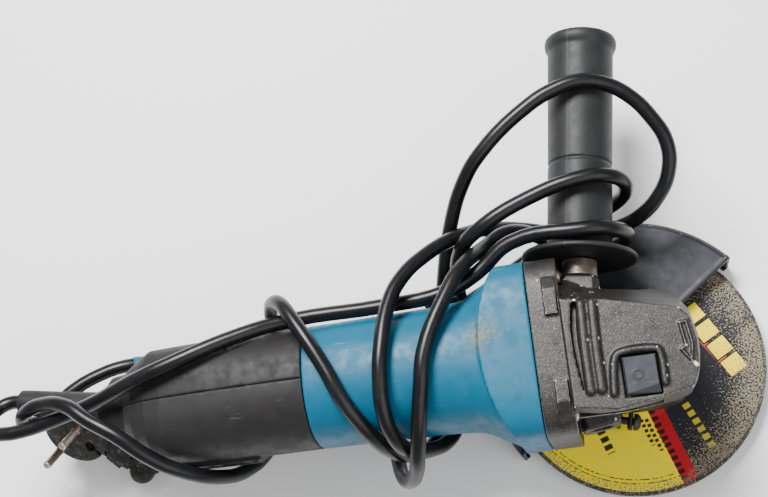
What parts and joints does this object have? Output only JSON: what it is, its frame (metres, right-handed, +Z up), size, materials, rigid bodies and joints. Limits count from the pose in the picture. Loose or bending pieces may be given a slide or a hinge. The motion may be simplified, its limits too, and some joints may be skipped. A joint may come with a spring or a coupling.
{
  "type": "angle grinder",
  "caption": "Corded angle grinder with a side handle, a half guard, a depressed-centre grinding wheel, a spindle lock, a slide switch and its cord wound around it.",
  "frame": {"origin": "on the standing surface, under the middle of the box of everything but the cord, the plug and its pins", "axes": "+X forward along the motor to the gear head, +Y left toward the side handle, +Z up out of the top of the gear head, along the spindle"},
  "size_m": [0.3746, 0.2144, 0.0958],
  "materials": {
    "teal_housing": "moulded nylon, worn, with grease and grey dust in the corners",
    "cast_head": "die-cast, speckled grey, rubbed bright on edges and pads",
    "turned_steel": "machined",
    "gear_steel": "hardened and greased",
    "abrasive": "bonded abrasive with a worn printed paper label",
    "guard_steel": "pressed steel, dark coating, scratched",
    "guard_clamp": "dark zinc",
    "lock_button": "moulded, satin from use",
    "laminations": "stacked sheet steel",
    "copper": "varnished copper",
    "brass": "sheet brass",
    "carbon": "pressed carbon",
    "inner_plastic": "moulded",
    "charcoal_plastic": "moulded nylon, scuffed pale",
    "slide_knob": "moulded, satin",
    "grip": "moulded, satin, with a seam line",
    "cord_rubber": "black sheath with a soft shine",
    "plug_rubber": "scuffed",
    "plug_pins": "nickel plate, a little tarnished",
    "screws": "zinc, a little rusty"
  },
  "bodies": {
    "housing": {"motor_housing": "teal_housing", "gear_housing": "cast_head", "bearing_box": "cast_head", "rear_handle_left": "charcoal_plastic", "rear_handle_right": "charcoal_plastic", "cord_guard": "cord_rubber", "power_cord": "cord_rubber", "plug_body": "plug_rubber", "plug_pin_left": "plug_pins", "plug_pin_right": "plug_pins", "spindle_bearing": "turned_steel", "spindle_top_bearing": "turned_steel", "front_bearing": "turned_steel", "rear_bearing": "turned_steel", "stator": "laminations", "field_coil_upper_front": "copper", "field_coil_lower_front": "copper", "baffle_ring": "inner_plastic", "brush_left": "carbon", "brush_right": "carbon", "brush_holder_left": "brass", "brush_holder_right": "brass", "switch_body": "inner_plastic", "cord_clamp": "inner_plastic", "head_screw_1": "screws", "head_screw_2": "screws", "head_screw_3": "screws", "head_screw_4": "screws", "cover_screw_1": "screws", "cover_screw_2": "screws", "cover_screw_3": "screws", "cover_screw_4": "screws", "handle_screw_1": "screws", "handle_screw_2": "screws", "handle_screw_3": "screws"},
    "wheel_set": {"spindle": "turned_steel", "crown_gear": "gear_steel", "inner_flange": "turned_steel", "grinding_wheel": "abrasive", "lock_nut": "turned_steel"},
    "armature": {"armature_shaft": "turned_steel", "pinion": "gear_steel", "armature_core": "laminations", "armature_winding_front": "copper", "armature_winding_rear": "copper", "commutator": "copper", "cooling_fan": "inner_plastic"},
    "guard": {"wheel_guard": "guard_steel", "guard_clamp_screw": "guard_clamp", "guard_clamp_nut": "guard_clamp"},
    "spindle_lock": {"lock_button": "lock_button", "lock_pin": "turned_steel", "lock_spring": "turned_steel"},
    "switch_slide": {"slide_knob": "slide_knob", "slide_rod": "turned_steel"},
    "side_handle": {"side_grip": "grip", "side_handle_stud": "turned_steel"}
  },
  "joints": [
    {"name": "wheel_spin", "type": "hinge", "parent": "housing", "child": "wheel_set", "pos_m": [0.11686, -0.0447, 0.0285], "axis": [0, 0, 1], "continuous": true},
    {"name": "motor_spin", "type": "hinge", "parent": "housing", "child": "armature", "pos_m": [0.01686, -0.0447, 0.0585], "axis": [1, 0, 0], "continuous": true},
    {"name": "lock_press", "type": "slide", "parent": "housing", "child": "spindle_lock", "axis": [0, 0, -1], "range_m": [0, 0.0032], "stiffness_N_per_m": 300, "springref_m": -0.003, "deforming": ["lock_spring"]},
    {"name": "switch_travel", "type": "slide", "parent": "housing", "child": "switch_slide", "axis": [1, 0, 0], "range_m": [0, 0.007]},
    {"name": "guard_turn", "type": "hinge", "parent": "housing", "child": "guard", "pos_m": [0.11686, -0.0447, 0.0215], "axis": [0, 0, 1], "range_deg": [-90, 60]},
    {"name": "side_handle_turn", "type": "hinge", "parent": "housing", "child": "side_handle", "pos_m": [0.1001, -0.00511, 0.0621], "axis": [0.1435, 0.9896, 0], "continuous": true}
  ],
  "couplings": [
    {"joint": "motor_spin", "follows": "wheel_spin", "ratio": -3.3636}
  ]
}
